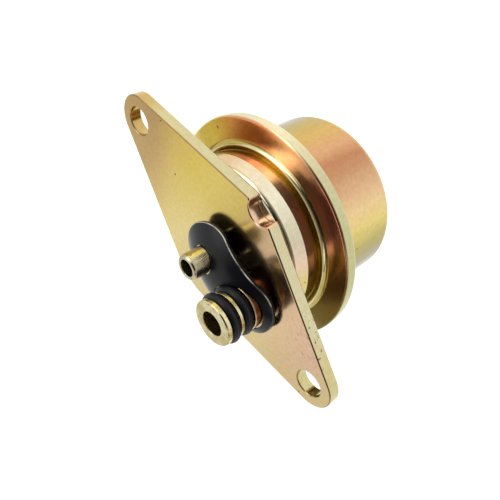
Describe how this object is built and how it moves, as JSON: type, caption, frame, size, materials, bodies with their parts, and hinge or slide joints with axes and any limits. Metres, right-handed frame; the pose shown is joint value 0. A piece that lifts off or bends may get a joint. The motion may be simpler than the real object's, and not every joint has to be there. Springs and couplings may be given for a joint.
{
  "type": "fuel pressure regulator",
  "caption": "Flange-mounted diaphragm fuel pressure regulator: yellow-zinc can with crimped rim, notched diamond plate, O-ring inlet nipple, central return tube, loose gasket.",
  "frame": {"origin": "on the flange's mounting face, midway between the two bolt holes, on the body axis", "axes": "+Z out of the mounting face towards the fuel nipples; +X along the bolt holes towards the inlet nipple's side; +Y towards the locating notch"},
  "size_m": [0.08, 0.0528, 0.0566],
  "materials": {
    "yellow_zinc": "bright yellow chromate over zinc",
    "pale_zinc": "turned steel with a pale yellow chromate",
    "turned_steel": "machined, bare",
    "spring_steel": "dark drawn wire",
    "seal_rubber": "smooth black rubber",
    "gasket_rubber": "black rubber sheet"
  },
  "bodies": {
    "housing": {"mounting_flange": "yellow_zinc", "lower_housing": "yellow_zinc", "spring_can": "yellow_zinc", "vacuum_nipple": "pale_zinc", "inlet_nipple": "pale_zinc", "return_tube": "pale_zinc", "valve_seat": "turned_steel", "front_o_ring": "seal_rubber", "rear_o_ring": "seal_rubber", "flange_gasket": "gasket_rubber", "diaphragm": "gasket_rubber", "main_spring": "spring_steel", "spring_seat": "turned_steel"},
    "valve": {"valve_holder": "turned_steel", "valve_ball": "turned_steel", "valve_retainer": "turned_steel", "ball_spring": "spring_steel", "diaphragm_washer": "turned_steel", "spring_plate": "turned_steel"}
  },
  "joints": [
    {"name": "valve_lift", "type": "slide", "parent": "housing", "child": "valve", "axis": [0, 0, -1], "range_m": [0, 0.001], "stiffness_N_per_m": 12000, "deforming": ["main_spring", "diaphragm"]}
  ]
}
